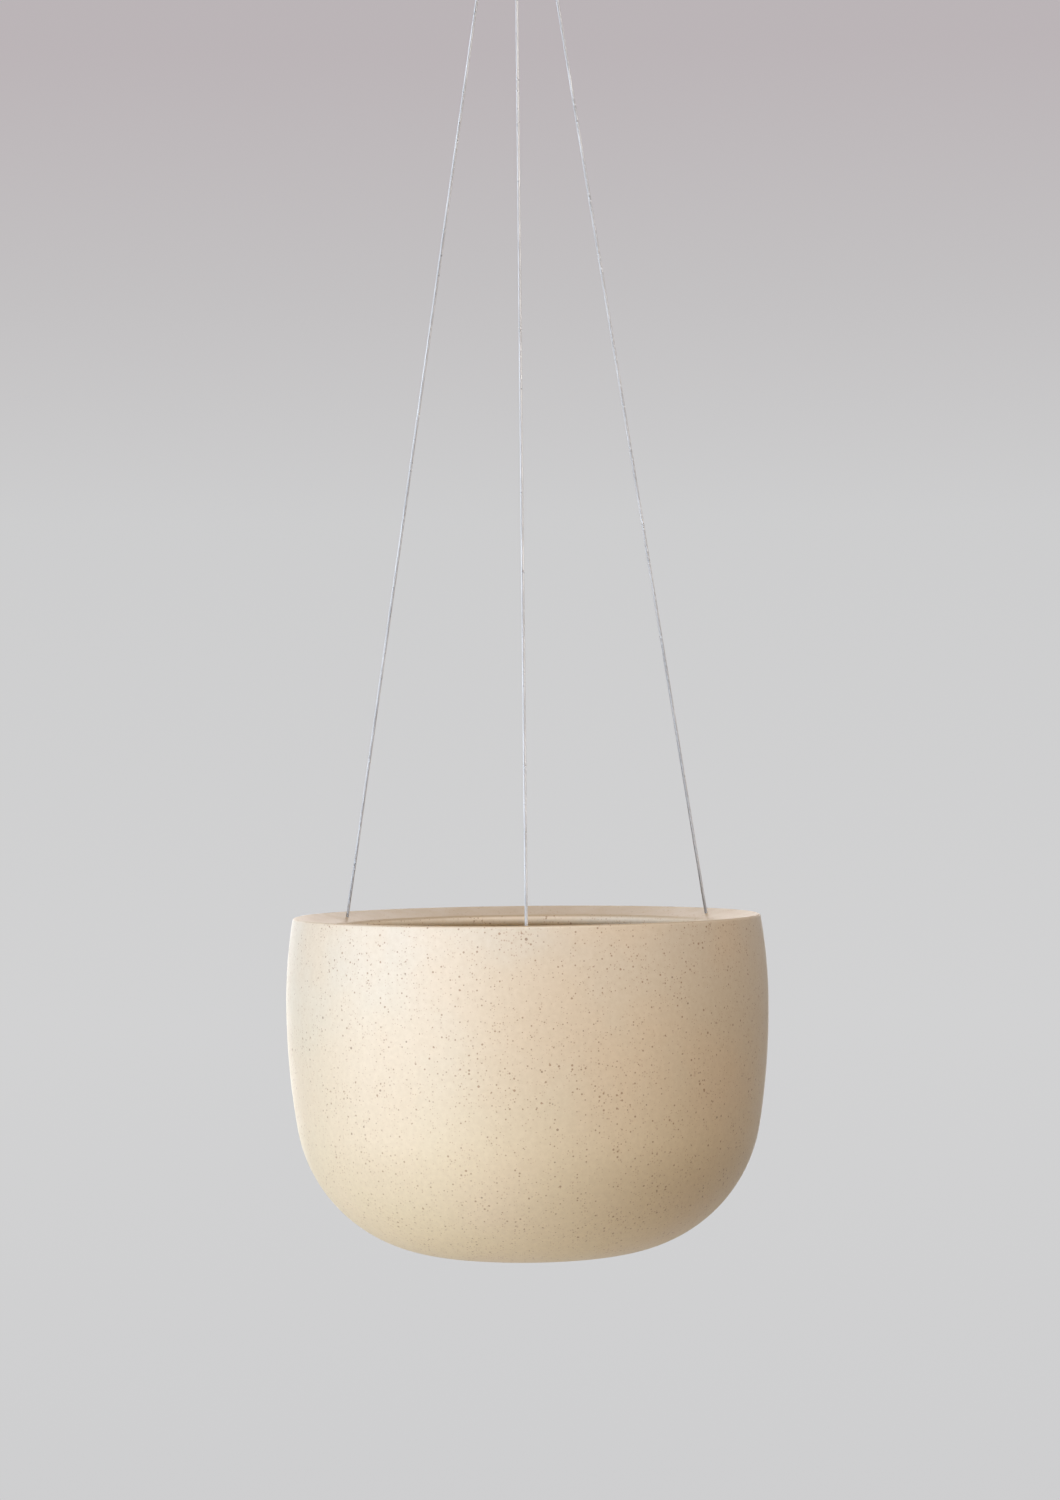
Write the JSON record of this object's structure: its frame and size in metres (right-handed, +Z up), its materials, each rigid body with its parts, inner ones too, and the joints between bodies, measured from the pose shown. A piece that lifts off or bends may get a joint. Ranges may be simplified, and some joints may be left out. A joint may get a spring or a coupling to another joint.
{
  "type": "hanging planter",
  "caption": "Round speckled stoneware bowl with an inward lip, hung on thin wire ropes from a ring, a swivel hook and a round ceiling plate.",
  "frame": {"origin": "centre of the ceiling plate's face against the ceiling, which is the centre of its screw circle", "axes": "+Z up along the planter's axis, -Y towards the front wire, +X to the right as seen in the picture"},
  "size_m": [0.24, 0.24, 0.798],
  "materials": {
    "speckled_stoneware": "satin cream glaze with small brown specks",
    "wire_rope": "stranded stainless steel",
    "pressed_steel": "pressed stainless steel",
    "sleeve_metal": "crimped aluminium",
    "rod_steel": "polished stainless rod",
    "plate_steel": "brushed stainless sheet"
  },
  "bodies": {
    "ceiling_fixing": {"ceiling_plate": "plate_steel"},
    "hook": {"swivel_hook": "rod_steel", "hook_washer": "rod_steel", "hook_nut": "rod_steel"},
    "ring": {"hanging_ring": "rod_steel"},
    "planter": {"bowl": "speckled_stoneware", "suspension_wire_front": "wire_rope", "suspension_wire_left": "wire_rope", "suspension_wire_right": "wire_rope", "eye_thimble_front": "pressed_steel", "eye_thimble_left": "pressed_steel", "eye_thimble_right": "pressed_steel", "crimp_sleeve_front": "sleeve_metal", "crimp_sleeve_left": "sleeve_metal", "crimp_sleeve_right": "sleeve_metal", "lip_washer_front": "pressed_steel", "lip_washer_left": "pressed_steel", "lip_washer_right": "pressed_steel", "stop_ball_front": "pressed_steel", "stop_ball_left": "pressed_steel", "stop_ball_right": "pressed_steel"}
  },
  "joints": [
    {"name": "hook_turn", "type": "hinge", "parent": "ceiling_fixing", "child": "hook", "pos_m": [0, 0, -0.011], "axis": [0, 0, 1], "continuous": true},
    {"name": "ring_swing", "type": "hinge", "parent": "hook", "child": "ring", "pos_m": [0, 0, -0.04328], "axis": [0, 1, 0], "range_deg": [-30, 30]},
    {"name": "planter_swing", "type": "hinge", "parent": "ring", "child": "planter", "pos_m": [0, 0, -0.06748], "axis": [1, 0, 0], "range_deg": [-30, 30]}
  ]
}
